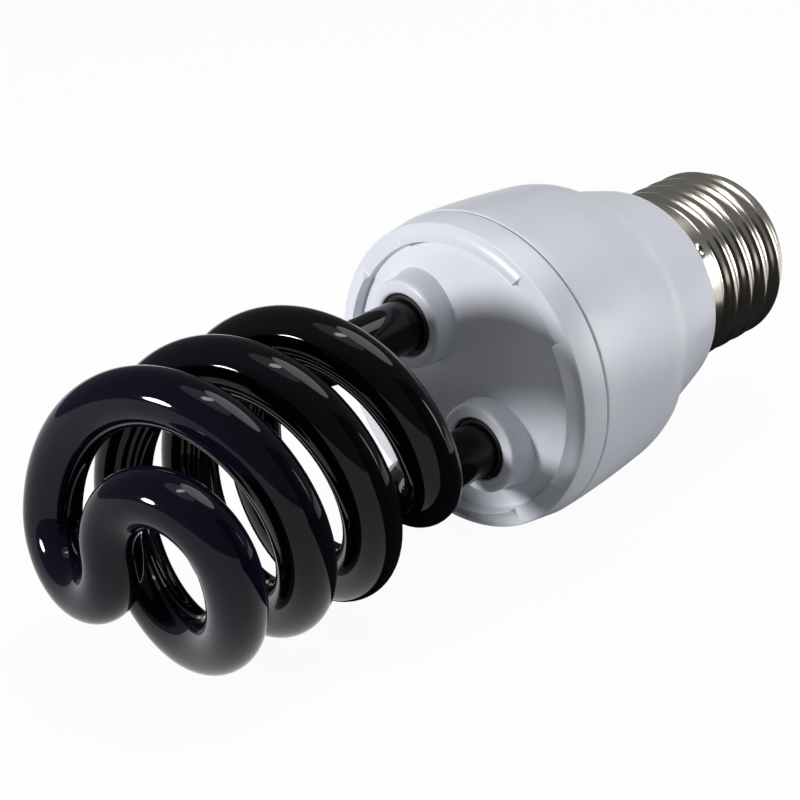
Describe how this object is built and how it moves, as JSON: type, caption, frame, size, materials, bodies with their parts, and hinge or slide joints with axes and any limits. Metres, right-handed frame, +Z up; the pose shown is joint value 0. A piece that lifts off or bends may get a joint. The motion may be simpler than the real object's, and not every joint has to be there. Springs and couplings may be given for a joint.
{
  "type": "insect trap bulb",
  "caption": "Compact black-light bulb for an insect trap: a double spiral tube on a white round housing with a screw cap.",
  "frame": {"origin": "centre of the footprint, on the surface that the bulb lies on", "axes": "+X along the bulb from the spiral's tip towards the screw cap, +Z up, -Y towards the side that the picture was taken from"},
  "size_m": [0.1307, 0.0448, 0.0447],
  "materials": {
    "black_glass": "gloss",
    "black_cement": "matte",
    "white_plastic": "gloss",
    "nickel_plate": "satin",
    "black_insulator": "gloss",
    "solder": "satin",
    "board": "satin",
    "ferrite": "matte",
    "black_plastic": "matte",
    "copper_wire": "gloss",
    "can_sleeve": "gloss",
    "film_dip": "gloss",
    "resistor_coat": "matte",
    "thermistor_coat": "matte",
    "tinned_wire": "satin",
    "sleeve_rubber": "matte"
  },
  "bodies": {
    "root": {"spiral_tube": "black_glass", "tube_cement": "black_cement", "front_cover": "white_plastic", "housing": "white_plastic", "cap_shell": "nickel_plate", "cap_insulator": "black_insulator", "centre_contact": "nickel_plate", "centre_solder": "solder", "ballast_board": "board", "choke_core": "ferrite", "choke_bobbin": "black_plastic", "choke_winding": "copper_wire", "ring_core": "ferrite", "ring_windings": "copper_wire", "electrolytic_capacitor": "can_sleeve", "start_capacitor": "film_dip", "coupling_capacitor": "film_dip", "filter_capacitor": "film_dip", "power_transistors": "black_plastic", "rectifier_diodes": "black_plastic", "resistors": "resistor_coat", "trigger_diode": "resistor_coat", "thermistor": "thermistor_coat", "filter_core": "ferrite", "filter_winding": "copper_wire", "fuse_resistor": "resistor_coat", "fuse_sleeve": "sleeve_rubber", "lead_posts": "tinned_wire", "tube_leads": "tinned_wire", "shell_lead": "tinned_wire"}
  },
  "joints": []
}
